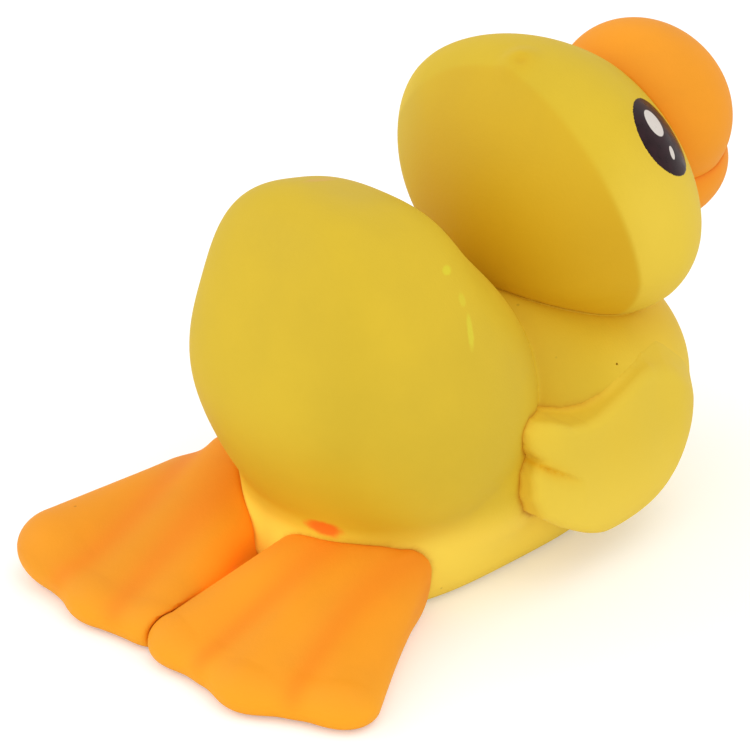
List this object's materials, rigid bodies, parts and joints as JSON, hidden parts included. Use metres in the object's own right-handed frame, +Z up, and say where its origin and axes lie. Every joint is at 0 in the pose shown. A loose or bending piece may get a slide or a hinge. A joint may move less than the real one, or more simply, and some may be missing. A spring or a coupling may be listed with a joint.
{
  "type": "floating chlorine dispenser",
  "caption": "Hollow duck-shaped pool float on a flat keel, with a slotted tablet basket that slides down out of a chamber in its base, a bayonet lock cap and a turning vent dial.",
  "frame": {"origin": "on the floor, at the middle of the whole duck's footprint", "axes": "+Z up, +Y from the feet towards the bill, +X to the duck's right"},
  "size_m": [0.1652, 0.2824, 0.18],
  "materials": {
    "yellow_vinyl": "matte painted vinyl",
    "orange_vinyl": "matte painted vinyl",
    "eye_gloss": "glossy",
    "white_plastic": "satin moulded",
    "blue_plastic": "satin moulded",
    "gasket_rubber": "matte",
    "clear_hose": "satin",
    "screw_steel": "satin",
    "ballast_zinc": "as cast"
  },
  "bodies": {
    "float": {"body_shell": "yellow_vinyl", "head_shell": "yellow_vinyl", "neck_ring": "white_plastic", "upper_bill": "orange_vinyl", "lower_bill": "orange_vinyl", "right_eye": "eye_gloss", "left_eye": "eye_gloss", "right_wing": "yellow_vinyl", "left_wing": "yellow_vinyl", "right_foot": "orange_vinyl", "left_foot": "orange_vinyl", "tablet_cup": "white_plastic", "cup_gasket": "gasket_rubber", "front_ballast": "ballast_zinc", "rear_ballast": "ballast_zinc", "vent_hose": "clear_hose", "cup_screw_1": "screw_steel", "cup_screw_2": "screw_steel", "cup_screw_3": "screw_steel", "cup_screw_4": "screw_steel"},
    "basket": {"tablet_basket": "white_plastic", "pivot_screw": "screw_steel"},
    "lock_cap": {"lock_cap": "blue_plastic"},
    "dial": {"vent_dial": "white_plastic"}
  },
  "joints": [
    {"name": "basket_pull", "type": "slide", "parent": "float", "child": "basket", "axis": [0, 0, -1], "range_m": [0, 0.065]},
    {"name": "lock_turn", "type": "hinge", "parent": "basket", "child": "lock_cap", "pos_m": [0.00175, 0.01276, 0.006], "axis": [0, 0, 1], "range_deg": [0, 40]},
    {"name": "dial_turn", "type": "hinge", "parent": "lock_cap", "child": "dial", "pos_m": [0.00175, 0.01276, 0.004], "axis": [0, 0, 1], "range_deg": [0, 45]}
  ]
}
